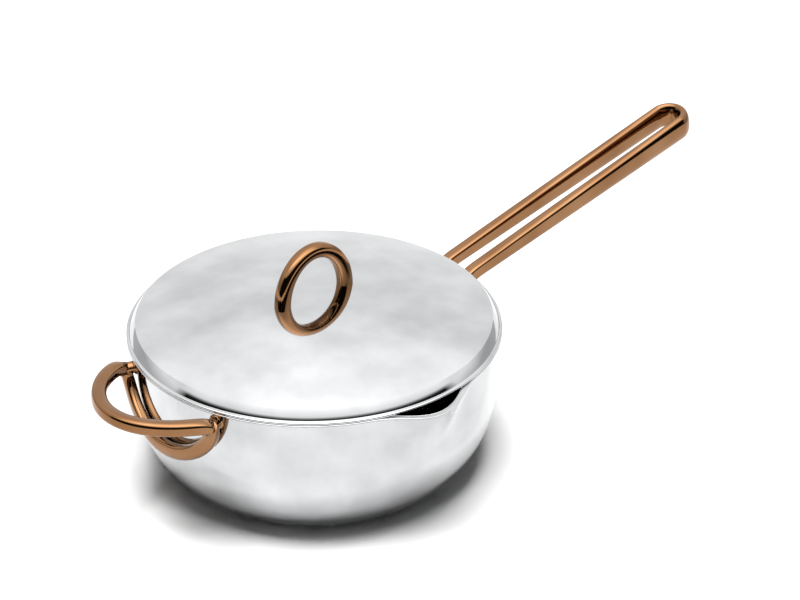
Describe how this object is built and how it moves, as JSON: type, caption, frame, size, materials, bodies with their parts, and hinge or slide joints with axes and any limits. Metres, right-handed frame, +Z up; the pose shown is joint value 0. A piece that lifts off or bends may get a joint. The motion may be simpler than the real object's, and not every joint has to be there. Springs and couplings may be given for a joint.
{
  "type": "lidded saucepan",
  "caption": "Round deep saucepan of layered metal with a pouring spout, a long looped handle, a folded helper ring and a lift-off domed lid with an arched knob.",
  "frame": {"origin": "centre of the flat base, on the surface that the saucepan stands on", "axes": "+X out along the long handle, +Z up through the lid's knob, the spout points along -Y, turned 3 degrees toward the helper ring, which reaches along -X"},
  "size_m": [0.4843, 0.2421, 0.1467],
  "materials": {
    "polished_steel": "mirror polished stainless steel",
    "brushed_steel": "fine satin stainless steel",
    "core_aluminium": "plain, sealed between the steel layers",
    "copper_toned_metal": "polished, copper toned",
    "fixing_steel": "bright stainless steel"
  },
  "bodies": {
    "pan": {"vessel_outer_ply": "polished_steel", "vessel_core_ply": "core_aluminium", "vessel_inner_ply": "brushed_steel", "long_handle": "copper_toned_metal", "helper_handle": "copper_toned_metal", "long_handle_rivet_left": "fixing_steel", "long_handle_rivet_right": "fixing_steel", "helper_handle_rivet_left": "fixing_steel", "helper_handle_rivet_right": "fixing_steel"},
    "lid": {"lid_shell": "polished_steel", "lid_knob": "copper_toned_metal", "lid_knob_washer_front": "fixing_steel", "lid_knob_screw_front": "fixing_steel", "lid_knob_washer_rear": "fixing_steel", "lid_knob_screw_rear": "fixing_steel"}
  },
  "joints": [
    {"name": "lid_lift", "type": "slide", "parent": "pan", "child": "lid", "axis": [0, 0, 1], "range_m": [0, 0.12]}
  ]
}
